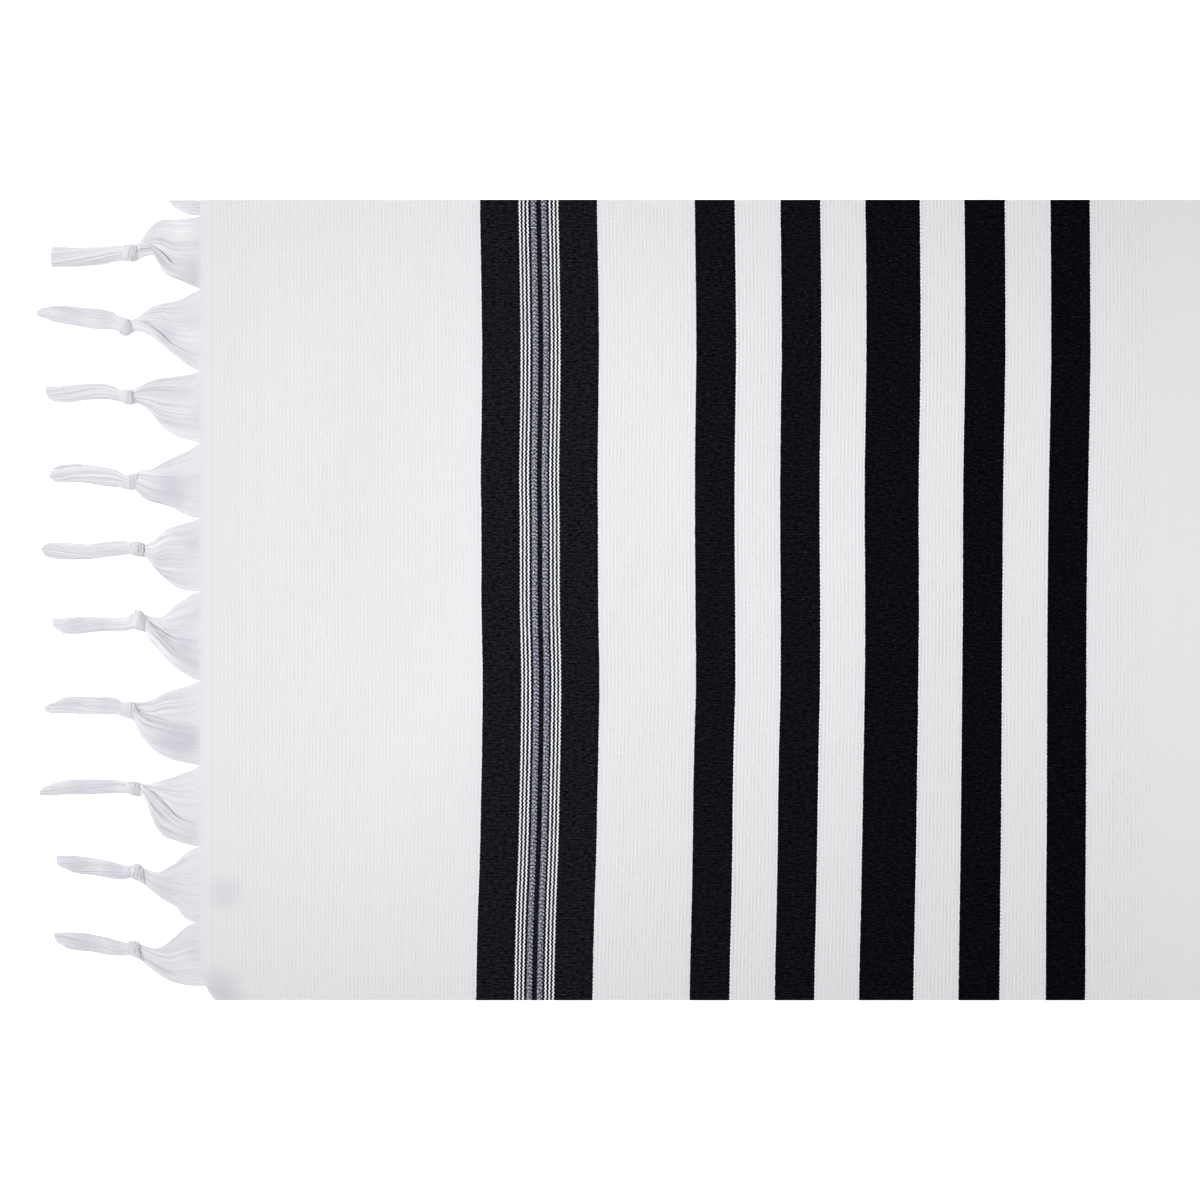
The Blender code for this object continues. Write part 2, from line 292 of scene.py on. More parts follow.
# Soft round spots, in millimetres: painted shade where the cloth is a little rumpled near the fringe,
# reach being how far in from it, and painted shade where the yarn's threads lie hollow and shade each
# other, reach being how far out. Amount is how much of the shade shows in the middle of the spot, and is
# below 0 where the threads lie raised, which paints light there.
Spot = namedtuple("Spot", "reach across radius amount")
RUMPLE_SHADE_SPOTS = (Spot(9, -220, 19, 0.72), Spot(14, -165, 15, 0.45))
HOLLOW_SPOTS = (
    Spot(12, 206, 15, -0.8),
    Spot(4, 184, 11, 0.45),
    Spot(18, 150, 8, 0.35),
    Spot(5, 147, 9, -0.4),
    Spot(72, 160, 13, 0.3),
    Spot(52, 157, 10, 0.35),
    Spot(22, 127, 7, 0.4),
    Spot(8, 102, 13, -0.35),
    Spot(16, 63, 14, 0.75),
    Spot(11, 55, 8, 0.25),
    Spot(15, 26, 14, -0.35),
    Spot(56, 30, 6, 0.3),
    Spot(9, -25, 9, 0.6),
    Spot(68, -14, 11, 0.6),
    Spot(56, -15, 9, 0.55),
    Spot(12, -79, 17, 0.6),
    Spot(73, -60, 12, 0.4),
    Spot(50, -60, 12, 0.4),
    Spot(5, -132, 8, 0.3),
    Spot(66, -106, 12, 0.65),
    Spot(53, -106, 10, 0.6),
    Spot(69, -149, 13, 0.7),
    Spot(47, -152, 11, 0.7),
    Spot(39, -155, 6, 0.4),
    Spot(18, -160, 10, 0.3),
    Spot(10, -204, 12, -0.25),
    Spot(64, -192, 14, 0.55),
    Spot(46, -193, 8, 0.4),
)

# How strongly the white weave's ribs show, at distances in millimetres from the fringe: they begin past
# the end strip, and stop past the last stripe
RIB_SHOWS = ((8, 0.0), (14, 0.72), (151.2, 0.72), (280, 1.0), (529.2, 1.0), (543.2, 0.0))
RIB_SPAN = 560.0
# The end strip beside the fringe: its colours at distances in millimetres from it, where the weave
# begins to show in it, and where the strip ends
STRIP_COLORS = (
    (0.0, "#E6E5EA"),
    (1.68, "#E8E7EB"),
    (2.8, "#E5E4E9"),
    (4.06, "#E8E7EB"),
    (5.32, "#E7E6E9"),
    (6.44, "#E3E3E6"),
    (7.84, "#E6E6E8"),
)
STRIP_WOVEN = 8.0
STRIP_END = 14.0

# Soft lights: where each stands and the point it faces, in metres, its power in watts and its spread in
# degrees
Softbox = namedtuple("Softbox", "name place aim power spread")
SOFTBOXES = (
    Softbox("fringe_softbox", (-1.61, 0.30, 1.40), (-0.88, 0.07, 0.0), 1.40, 24),
    Softbox("stripe_softbox", (-0.66, 0.35, 1.60), (0.00, -0.08, 0.0), 1.56, 40),
    Softbox("far_softbox", (0.88, 0.42, 1.95), (0.83, 0.12, 0.0), 1.91, 50),
)
SOFTBOX_SIZE = 0.8
WORLD_STRENGTH = 0.38
# Half the table's side in metres, and how far its top lies below the shawl's lowest points
TABLE_HALF = 60.0
TABLE_DROP = 0.3 * MM
# Width of the camera's sensor in millimetres, and the share of the view's width left of the cloth's end
SENSOR_WIDTH = 36.0
FRINGE_SHARE = 200 / 1200

# A section through a bundle of threads, in millimetres, and the sockets that the weave's parts share
Place = namedtuple("Place", "reach hi lo floor height")
Weave = namedtuple("Weave", "point from_end across tooth_turn tooth wander")

# In a mix node, input 0 is the factor, 6 and 7 are its colours, and 2 and 3 its values. A range node's
# inputs are a value, the two limits that it lies between and the two that they are mapped to.
MATH, MIX, NOISE, RAMP = "ShaderNodeMath", "ShaderNodeMix", "ShaderNodeTexNoise", "ShaderNodeValToRGB"
RANGE, MAPPING = "ShaderNodeMapRange", "ShaderNodeMapping"
SHADER, OUTPUT = "ShaderNodeBsdfPrincipled", "ShaderNodeOutputMaterial"


def srgb(hex_color):
    """A hex colour as linear red, green, blue and alpha."""
    values = [int(hex_color[place : place + 2], 16) / 255 for place in (1, 3, 5)]
    linear = [v / 12.92 if v <= 0.04045 else ((v + 0.055) / 1.055) ** 2.4 for v in values]
    return (*linear, 1.0)


def bump(distance):
    """A soft hump: 1 at its middle, falling smoothly to 0 at a distance of 1 and beyond."""
    if abs(distance) >= 1:
        return 0.0
    return (1 - distance * distance) ** 2


def ease(amount):
    """A smooth step from 0 to 1."""
    amount = min(max(amount, 0.0), 1.0)
    return amount * amount * (3 - 2 * amount)


def smooth_through(xs, ys, x):
    """The value at x of a smooth curve through points, which never swings past its neighbours."""
    if x <= xs[0]:
        return ys[0]
    if x >= xs[-1]:
        return ys[-1]
    steps = [(y1 - y0) / (x1 - x0) for x0, x1, y0, y1 in zip(xs, xs[1:], ys, ys[1:])]
    slopes = [steps[0]]
    for before, after in zip(steps, steps[1:]):
        slopes.append(2 * before * after / (before + after) if before * after > 0 else 0.0)
    slopes.append(steps[-1])
    index = max(i for i in range(len(xs) - 1) if xs[i] <= x)
    span = xs[index + 1] - xs[index]
    t = (x - xs[index]) / span
    return (
        (1 + 2 * t) * (1 - t) ** 2 * ys[index]
        + t * (1 - t) ** 2 * span * slopes[index]
        + t * t * (3 - 2 * t) * ys[index + 1]
        + t * t * (t - 1) * span * slopes[index + 1]
    )


def length_property(name, description, default, **limits):
    """A length in metres, as a setting."""
    return FloatProperty(name=name, description=description, default=default, unit="LENGTH", **limits)


def color_property(name, description, hex_color):
    """A colour, as a setting."""
    return FloatVectorProperty(
        name=name, description=description, default=srgb(hex_color), size=4, subtype="COLOR"
    )


class ShawlCloth(bpy.types.PropertyGroup):
    """Sizes and colours of the woven cloth."""

    wall: length_property("Wall", "Thickness of the cloth", 1.1 * MM, min=0.0005)
    cell: length_property("Cell", "Size of the cloth's mesh cells", 4.5 * MM, min=0.002)
    rib: length_property("Rib", "Spacing of the ribs of the white weave", 2.06 * MM)
    warp: length_property("Warp", "Spacing of the warp threads", 1.09 * MM)
    white: color_property("White", "White weft and warp", "#E6E6E8")


class ShawlThread(bpy.types.PropertyGroup):
    """Sizes and colour of the fringe's threads."""

    radius: length_property("Radius", "Radius of one thread", 0.58 * MM, min=0.0002)
    wraps: IntProperty(
        name="Wraps", description="Turns of yarn that show round a knot", default=9, min=4, max=24
    )
    color: color_property("Thread", "Colour of the threads", "#E6E6EB")
    knot: color_property("Knot", "Colour of the knots' yarn", "#EAE9ED")


class ShawlStage(bpy.types.PropertyGroup):
    """Floor, light and camera."""

    view_width: length_property("View width", "Width of the view at the cloth", 0.675)
    lens: FloatProperty(name="Lens", description="Focal length in millimetres", default=85.0)
    floor: color_property("Floor", "Colour of the floor", "#FAFAFA")


def add_node(tree, kind, inputs=(), stops=(), **settings):
    """Add a shader node with its settings and fill its inputs, in order or by number or name.

    An input takes a value, a socket, or another node, whose first output in use is meant. Stops are the
    places and colours of a colour ramp.
    """
    node = tree.nodes.new(kind)
    for name, value in settings.items():
        setattr(node, name, value)
    for index, (place, color) in enumerate(stops):
        ramp = node.color_ramp
        if index == 0:
            ramp.elements.remove(ramp.elements[1])
        element = ramp.elements.new(place) if index else ramp.elements[0]
        element.position = place
        element.color = color
    for key, value in inputs.items() if isinstance(inputs, dict) else enumerate(inputs):
        if isinstance(value, bpy.types.Node):
            value = next(output for output in value.outputs if output.enabled)
        if isinstance(value, bpy.types.NodeSocket):
            tree.links.new(value, node.inputs[key])
        else:
            node.inputs[key].default_value = value
    return node


def new_material(name):
    """A material with an empty node tree, and that tree."""
    material = bpy.data.materials.new(name)
    material.use_nodes = True
    material.node_tree.nodes.clear()
    return material, material.node_tree


def amount_in_spots(tree, point, spots):
    """How deep a point lies in some soft round spots, which are pairs of a middle and its Spot."""
    total = None
    for middle, spot in spots:
        distance = add_node(tree, "ShaderNodeVectorMath", (point, middle), operation="DISTANCE")
        amount = add_node(
            tree,
            RANGE,
            (distance.outputs["Value"], 0.0, spot.radius * MM, spot.amount, 0.0),
            interpolation_type="SMOOTHSTEP",
        )
        total = add_node(tree, MATH, (total, amount), operation="ADD") if total else amount
    return total


def sine_over(tree, distance, period):
    """A sine wave over a distance, and its angle."""
    turn = add_node(tree, MATH, (distance, math.tau / period), operation="MULTIPLY")
    return add_node(tree, MATH, (turn,), operation="SINE"), turn


def off_middle_of(tree, band, place):
    """How far a place is from the middle of a stripe or line, to either side."""
    middle = (band.start + band.end) / 2 * MM
    offset = add_node(tree, MATH, (place, middle), operation="SUBTRACT")
    return add_node(tree, MATH, (offset,), operation="ABSOLUTE")


def distance_past_stripes(tree, reach):
    """Distance past the nearest stripe's edge: below 0 inside the stripe."""
    past_edge = None
    for stripe in STRIPES:
        half = (stripe.end - stripe.start) / 2 * MM
        past = add_node(tree, MATH, (off_middle_of(tree, stripe, reach), half), operation="SUBTRACT")
        past_edge = add_node(tree, MATH, (past_edge, past), operation="MINIMUM") if past_edge else past
    return past_edge


def black_yarn(tree, weave, reach):
    """The stripes' black yarn, and the ridges of warp across it, which are drawn at 1.6 mm to show."""
    # Each stripe has its own black, painted lighter the nearer the stripe lies to the fringe: painted light
    # for the stray light that lifts the blacks there.
    far = STRIPES[-1].end * MM
    stops = [(0.0, srgb(STRIPES[0].color))]
    for before, after in zip(STRIPES, STRIPES[1:]):
        stops.append(((before.end + after.start) / 2 * MM / far, srgb(after.color)))
    share = add_node(tree, MATH, (reach, far), operation="DIVIDE")
    black = add_node(tree, RAMP, (share,), stops)
    black.color_ramp.interpolation = "CONSTANT"

    # The yarn's own fibres lie along it, with sparse pale lint.
    fibre_scale = (1 / (2.4 * MM), 1 / (1.1 * MM), 1.0)
    along_yarn = add_node(tree, MAPPING, {"Vector": weave.point, "Scale": fibre_scale})
    fibres = add_node(tree, NOISE, {"Vector": along_yarn, "Scale": 1.0, "Detail": 3.0, "Roughness": 0.6})
    fibre_tone = add_node(tree, MATH, (fibres, 7.0, -2.4), operation="MULTIPLY_ADD")
    ridge, _ = sine_over(tree, weave.across, 1.6 * MM)
    # The ridges are painted lighter and darker as well as raised by the bump: painted light and shade of
    # the ridges.
    ridge_tone = add_node(tree, MATH, (ridge, 0.15, fibre_tone), operation="MULTIPLY_ADD")
    yarn_tone = add_node(tree, MATH, (ridge_tone, 0.1), operation="MAXIMUM")
    yarn = add_node(tree, MIX, {0: 1.0, 6: black, 7: yarn_tone}, data_type="RGBA", blend_type="MULTIPLY")
    lint = add_node(tree, NOISE, {"Vector": weave.point, "Scale": 1 / (1.3 * MM), "Detail": 3.0})
    lint_amount = add_node(tree, RANGE, (lint, 0.6, 0.8, 0.0, 0.10))
    yarn = add_node(tree, MIX, {0: lint_amount, 6: yarn, 7: srgb("#8C9296")}, data_type="RGBA")
    return yarn, ridge


def add_inner_lines(tree, weave, yarn):
    """Two lines of grey twisted yarn and six white pinstripes in the wide stripe. Their edges wave more."""
    line_shift = add_node(tree, MATH, (weave.tooth, 0.26 * MM, weave.wander), operation="MULTIPLY_ADD")
    line_reach = add_node(tree, MATH, (weave.from_end, line_shift), operation="ADD")
    off_wide = off_middle_of(tree, STRIPES[0], line_reach)
    # On a ramp out from the stripe's middle, red marks a pinstripe and green a line of twisted yarn.
    span = 12 * MM
    stops = [(0.0, (0, 0, 0, 1))]
    for line, mark in [(TWISTED_LINE, (0, 1, 0, 1))] + [(pin, (1, 0, 0, 1)) for pin in PINSTRIPES]:
        stops += [(line.start * MM / span, mark), (line.end * MM / span, (0, 0, 0, 1))]
    share = add_node(tree, MATH, (off_wide, span), operation="DIVIDE")
    lines = add_node(tree, RAMP, (share,), stops)
    lines.color_ramp.interpolation = "CONSTANT"
    marks = add_node(tree, "ShaderNodeSeparateColor", (lines,))

    off_twist = off_middle_of(tree, TWISTED_LINE, off_wide)
    slope = math.pi / (1.4 * MM)
    ply_turn = add_node(tree, MATH, (off_twist, slope, weave.tooth_turn), operation="MULTIPLY_ADD")
    ply = add_node(tree, MATH, (ply_turn,), operation="SINE")
    plies = add_node(tree, NOISE, {"Vector": weave.point, "Scale": 1 / (0.8 * MM), "Detail": 2.0})
    ply_tone = add_node(tree, MATH, (ply, 0.09, plies), operation="MULTIPLY_ADD")
    greys = [(0.3, srgb("#1D1E26")), (0.5, srgb("#636477")), (0.7, srgb("#D6D7E0"))]
    twisted = add_node(tree, RAMP, (ply_tone,), greys)
    pins = srgb("#ECEDF0")
    lined = add_node(tree, MIX, {0: marks.outputs["Red"], 6: yarn, 7: pins}, data_type="RGBA")
    return add_node(tree, MIX, {0: marks.outputs["Green"], 6: lined, 7: twisted}, data_type="RGBA")


def white_weave(tree, weave, settings):
    """The white yarn, and its lattice: ribs along the stripes, which the warp that crosses them dots.

    The ribs are plainer in some patches than in others.
    """
    ribbed_share = add_node(tree, MATH, (weave.from_end, RIB_SPAN * MM), operation="DIVIDE")
    stops = [(place / RIB_SPAN, (shows, shows, shows, 1)) for place, shows in RIB_SHOWS]
    ribbed = add_node(tree, RAMP, (ribbed_share,), stops)
    rib, _ = sine_over(tree, weave.from_end, settings.rib)
    patch_scale = (1 / (6 * MM), 1 / (11 * MM), 1.0)
    patch = add_node(tree, MAPPING, {"Vector": weave.point, "Scale": patch_scale})
    patch = add_node(tree, NOISE, {"Vector": patch, "Scale": 1.0, "Detail": 1.0})
    plainness = add_node(tree, RANGE, (patch, 0.36, 0.64, 0.2, 1.0))
    dot_scale = (2 / settings.rib, 1 / settings.warp, 1.0)
    dots = add_node(tree, MAPPING, {"Vector": weave.point, "Scale": dot_scale})
    dots = add_node(tree, NOISE, {"Vector": dots, "Scale": 1.0, "Detail": 1.0})
    dots = add_node(tree, MATH, (dots, 5.0, -2.5), operation="MULTIPLY_ADD")
    lattice = add_node(tree, MATH, (rib, plainness), operation="MULTIPLY")
    lattice = add_node(tree, MATH, (dots, 0.55, lattice), operation="MULTIPLY_ADD")
    lattice = add_node(tree, MATH, (lattice, ribbed), operation="MULTIPLY")
    fluff = add_node(tree, NOISE, {"Vector": weave.point, "Scale": 1 / (1.2 * MM), "Detail": 2.0})
    fluff_tone = add_node(tree, MATH, (fluff, 0.10, 0.95), operation="MULTIPLY_ADD")
    # The lattice also lightens and darkens the white's colour: painted light and shade of the ribs and
    # dots, besides their bump.
    tone = add_node(tree, MATH, (lattice, 0.038, fluff_tone), operation="MULTIPLY_ADD")
    colors = {0: 1.0, 6: settings.white, 7: tone}
    white = add_node(tree, MIX, colors, data_type="RGBA", blend_type="MULTIPLY")
    return white, lattice


def shade_beside_stripes(tree, weave, past_edge, white):
    """Beside a stripe the white turns a little greyer and more violet, past a painted highlight along the
    raised float at the very edge.
    """
    fade = (past_edge, 0.6 * MM, 4 * MM, 0.6, 0.0)
    shade = add_node(tree, RANGE, fade, interpolation_type="SMOOTHSTEP")
    white = add_node(tree, MIX, {0: shade, 6: white, 7: srgb("#E0DFE6")}, data_type="RGBA")
    # A painted highlight along the stripe's edge, beaded with its teeth, where the raised float catches the
    # light.
    at_edge = add_node(tree, MATH, (past_edge, 0.6 * MM), operation="LESS_THAN")
    edge_highlight_bead = add_node(tree, MATH, (weave.tooth, 0.3, 0.4), operation="MULTIPLY_ADD")
    painted_edge_highlight = add_node(tree, MATH, (at_edge, edge_highlight_bead), operation="MULTIPLY")
    return add_node(tree, MIX, {0: painted_edge_highlight, 6: white, 7: srgb("#FBFBFC")}, data_type="RGBA")


def add_end_strip(tree, weave, white):
    """The end strip beside the fringe: plain, a little violet, closed by one darker pick."""
    share = add_node(tree, MATH, (weave.from_end, STRIP_END * MM), operation="DIVIDE")
    stops = [(place / STRIP_END, srgb(color)) for place, color in STRIP_COLORS]
    strip = add_node(tree, RAMP, (share,), stops)
    limits = (weave.from_end, STRIP_WOVEN * MM, STRIP_END * MM, 0.0, 1.0)
    past_strip = add_node(tree, RANGE, limits)
    return add_node(tree, MIX, {0: past_strip, 6: strip, 7: white}, data_type="RGBA")


def woven_material(settings):
    """Woven wool: a matt white ribbed weave with weft stripes of black yarn, all dull, with a faint nap."""
    material, tree = new_material("woven_wool_cloth")
    point = add_node(tree, "ShaderNodeAttribute", attribute_name="weave").outputs["Vector"]
    place = add_node(tree, "ShaderNodeSeparateXYZ", (point,))
    from_end, across = place.outputs["X"], place.outputs["Y"]

    # A stripe's edges are toothed, a tooth for every second warp thread, and no two are quite alike.
    tooth, tooth_turn = sine_over(tree, across, 2 * settings.warp)
    uneven = add_node(tree, NOISE, {"Vector": point, "Scale": 1 / (3 * MM), "Detail": 1.0})
    wander = add_node(tree, MATH, (uneven, 0.5 * MM, -0.25 * MM), operation="MULTIPLY_ADD")
    edge_shift = add_node(tree, MATH, (tooth, 0.14 * MM, wander), operation="MULTIPLY_ADD")
    reach = add_node(tree, MATH, (from_end, edge_shift), operation="ADD")
    weave = Weave(point, from_end, across, tooth_turn, tooth, wander)

    past_edge = distance_past_stripes(tree, reach)
    inside = add_node(tree, MATH, (past_edge, 0.0), operation="LESS_THAN")
    yarn, ridge = black_yarn(tree, weave, reach)
    dark = add_inner_lines(tree, weave, yarn)
    white, lattice = white_weave(tree, weave, settings)
    white = shade_beside_stripes(tree, weave, past_edge, white)
    white = add_end_strip(tree, weave, white)
    # Painted shade where the cloth is a little rumpled near the fringe.
    spots = [((spot.reach * MM, spot.across * MM, 0.0), spot) for spot in RUMPLE_SHADE_SPOTS]
    rumple_shade = amount_in_spots(tree, point, spots)
    white = add_node(tree, MIX, {0: rumple_shade, 6: white, 7: srgb("#CCCAD2")}, data_type="RGBA")

    color = add_node(tree, MIX, {0: inside, 6: white, 7: dark}, data_type="RGBA")
    # Heights of the weave, in metres
    white_height = add_node(tree, MATH, (lattice, 0.1 * MM), operation="MULTIPLY")
    black_height = add_node(tree, MATH, (ridge, 0.06 * MM), operation="MULTIPLY")
    height = add_node(tree, MIX, {0: inside, 2: white_height, 3: black_height}, data_type="FLOAT")
    relief = add_node(tree, "ShaderNodeBump", {"Strength": 1.0, "Distance": 1.0, "Height": height})
    looks = {"Base Color": color, "Roughness": 0.9, "IOR": 1.46, "Specular IOR Level": 0.03}
    shader = add_node(tree, SHADER, looks | {"Normal": relief})
    add_node(tree, OUTPUT, (shader,))
    return material


def thread_material(name, color, speckling):
    """Soft spun yarn, the cloth's warp: matt white, with painted violet shade where it lies low or hollow
    and painted light near the cloth, fuzzy with loose fibres.

    Handling leaves some of the knots' yarn speckled, and where a knot lies in shadow the specks also stand
    as painted shade: speckling is how dark those specks are.
    """
    material, tree = new_material(name)
    coords = add_node(tree, "ShaderNodeTexCoord").outputs["Object"]
    place = add_node(tree, "ShaderNodeSeparateXYZ", (coords,))
    along = add_node(tree, MATH, (place.outputs["X"],), operation="ABSOLUTE")

    # The threads that lie low are shaded by those above them.
    low = add_node(tree, RANGE, (place.outputs["Z"], 0.8 * MM, 4 * MM, 0.34, 0.04))
    # Painted light: near the cloth the yarn is painted lighter, as light as the cloth, for the shade
    # between its round threads there, fading out further on.
    fade = (along, HALF_LENGTH, HALF_LENGTH + ROOT_FADE * MM, 0.85, 0.0)
    painted_root_light = add_node(tree, RANGE, fade)
    # The second end is the first turned half round, so a spot's place there has both signs turned too.
    end = add_node(tree, MATH, (place.outputs["X"],), operation="SIGN")
    side = add_node(tree, MATH, (place.outputs["Y"], end), operation="MULTIPLY")
    point = add_node(tree, "ShaderNodeCombineXYZ", (along, side))
    # Painted shade where the threads lie hollow, and painted light where they lie raised.
    spots = [((HALF_LENGTH + spot.reach * MM, -spot.across * MM, 0.0), spot) for spot in HOLLOW_SPOTS]
    hollow = amount_in_spots(tree, point, spots)
    specks = add_node(tree, NOISE, {"Vector": coords, "Scale": 1 / (0.9 * MM), "Detail": 2.0})
    speck = add_node(tree, RANGE, (specks, 0.48, 0.66, 0.0, speckling))
    # Each tint lies over those before it, unclamped, for a raised spot's amount is below 0.
    for amount, tint in ((low, "#D3D2DD"), (painted_root_light, "#EEEEF2"), (hollow, "#D3D2DD"), (speck, "#7E746E")):
        blend = {0: amount, 6: color, 7: srgb(tint)}
        color = add_node(tree, MIX, blend, data_type="RGBA", clamp_factor=False)
    fuzz = add_node(tree, NOISE, {"Vector": coords, "Scale": 1 / (0.6 * MM), "Detail": 3.0})
    relief = add_node(tree, "ShaderNodeBump", {"Strength": 0.8, "Distance": 0.15 * MM, "Height": fuzz})
    looks = {"Base Color": color, "Roughness": 0.8, "IOR": 1.46, "Specular IOR Level": 0.1}
    sheen = {"Sheen Weight": 0.1, "Sheen Roughness": 0.4}
    shader = add_node(tree, SHADER, looks | sheen | {"Normal": relief})
    add_node(tree, OUTPUT, (shader,))
    return material


def floor_material(settings):
    """A light table of opal acrylic: white, matt and lit a little from within, so its shadows are faint."""
    material, tree = new_material("opal_acrylic_table")
    looks = {"Base Color": settings.floor, "Roughness": 0.9, "Specular IOR Level": 0.1}
    glow = {"Emission Color": (1.0, 1.0, 1.0, 1.0), "Emission Strength": 0.7}
    shader = add_node(tree, SHADER, looks | glow)
    add_node(tree, OUTPUT, (shader,))
    return material


def add_object(context, name, data):
    """Add an object to the scene."""
    added = bpy.data.objects.new(name, data)
    context.scene.collection.objects.link(added)
    return added


def lift_at(x, y):
    """How high the cloth's ripples raise its underside at a point."""
    lift = 0.0
    for ripple in RIPPLES:
        turn = math.radians(ripple.turn)
        dx = x - ripple.x * MM
        dy = y - ripple.y * MM
        along = dx * math.cos(turn) + dy * math.sin(turn)
        across = dy * math.cos(turn) - dx * math.sin(turn)
        fade = bump(along / (ripple.half_length * MM)) * bump(across / (ripple.half_width * MM))
        lift += ripple.rise * MM * fade
    return lift


def creep_at(from_end, across):
    """How far the weave has crept towards the middle of the shawl, at a distance from the fringe."""
    rows = [row.across for row in CREEPS]
    creeps = [
        smooth_through(rows, [getattr(row, stripe) for row in CREEPS], across / MM)
        for stripe in ("wide", "second", "middle", "last")
    ]
    creep = smooth_through(CREEP_STATIONS, (0.0, *creeps, 0.0), from_end) * MM
    corner = math.exp(-(across + HALF_WIDTH) / CORNER_REACH) * math.exp(-from_end / (4 * CORNER_REACH))
    return creep + CORNER_PULL * corner


class SHAWL_OT_cloth(bpy.types.Operator):
    """Weave the cloth: one thin sheet with low ripples, whose points carry their place in its weave"""

    bl_idname = "shawl.cloth"
    bl_label = "Weave cloth"

    def execute(self, context):
        settings = context.scene.shawl_cloth
        bm = bmesh.new()
        place = bm.verts.layers.float_vector.new("weave")
        bmesh.ops.create_grid(
            bm,
            x_segments=round(CLOTH_LENGTH / settings.cell),
            y_segments=round(CLOTH_WIDTH / settings.cell),
            size=0.5,
        )
        for vert in bm.verts:
            along = vert.co.x * CLOTH_LENGTH
            across = vert.co.y * CLOTH_WIDTH
            end = -1 if along < 0 else 1
            from_end = HALF_LENGTH - abs(along)
            vert[place] = (from_end, -end * across, 0.0)
            x = along - end * creep_at(from_end, -end * across)
            # Between its ripples the cloth lies a little uneven.
            swell = 0.5 + 0.5 * noise.noise(Vector((x * 16, across * 16, 0.0)))
            vert.co = (x, across, lift_at(x, across) + UNEVENNESS * swell)
        upper = bmesh.ops.extrude_face_region(bm, geom=bm.faces[:], use_keep_orig=True)["geom"]
        for vert in upper:
            if isinstance(vert, bmesh.types.BMVert):
                vert.co.z += settings.wall
        bmesh.ops.recalc_face_normals(bm, faces=bm.faces[:])
        # Extruding adds the sides in no fixed order, so faces and edges are put in order of place.
        ranks = Vector((1e6, 1e3, 1.0))
        bm.faces.sort(key=lambda face: face.calc_center_median().dot(ranks))
        bm.edges.sort(key=lambda edge: (edge.verts[0].co + edge.verts[1].co).dot(ranks))
        for face in bm.faces:
            face.smooth = True
        for edge in bm.edges:
            edge.smooth = edge.calc_face_angle(0.0) < math.radians(50)
        mesh = bpy.data.meshes.new("woven_cloth")
        bm.to_mesh(mesh)
        bm.free()
        cloth = add_object(context, "woven_cloth", mesh)
        mesh.materials.append(woven_material(settings))
        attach(cloth, "root")
        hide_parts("cloth")
        return {"FINISHED"}


def bundle_places(tassel, fold, folded):
    """The sections that a tassel's bundle fills from root to tip, in millimetres.

    A tassel with a fold has two bundles: the folded strand, and the rest, which runs below it.
    """
    lift = PLAIN_LIFT
    if fold:
        lift = STRAND_LIFT if folded else REST_LIFT
    places = []
    for step, hi, lo in zip(FAN_STEPS, tassel.fan_hi, tassel.fan_lo):
        edge = smooth_through(FOLD_STEPS, fold, step) if fold else None
        if fold and folded:
            hi = edge
        elif fold:
            # Past its root the rest reaches 2 mm under the strand, as far as it can.
            lo = max(lo + 1.0, edge - 2.0) if step else edge
        floor, height = (smooth_through(LIFT_STEPS, values, step) for values in lift)
        places.append(Place(step * (tassel.knot_reach - NECK_GAP), hi, lo, floor, height))
    for step, hi, lo in zip(KNOT_STEPS, tassel.knot_hi, tassel.knot_lo):
        # The knot's turns squeeze the threads, most of all in its middle.
        squeeze = (hi - lo) * (0.22 - 0.04 * abs(step))
        places.append(Place(tassel.knot_reach + step, hi - squeeze, lo + squeeze, KNOT_FLOOR, KNOT_HEIGHT))
    tail_start = tassel.knot_reach + TAIL_GAP
    tail_end = tassel.tip_reach - TIP_GAP
    for step, hi, lo in zip(TAIL_STEPS, tassel.tail_hi, tassel.tail_lo):
        reach = tail_start + (tail_end - tail_start) * step
        places.append(Place(reach, hi, lo, 0.0, TAIL_HEIGHT - TAIL_THINNING * step))
    return places


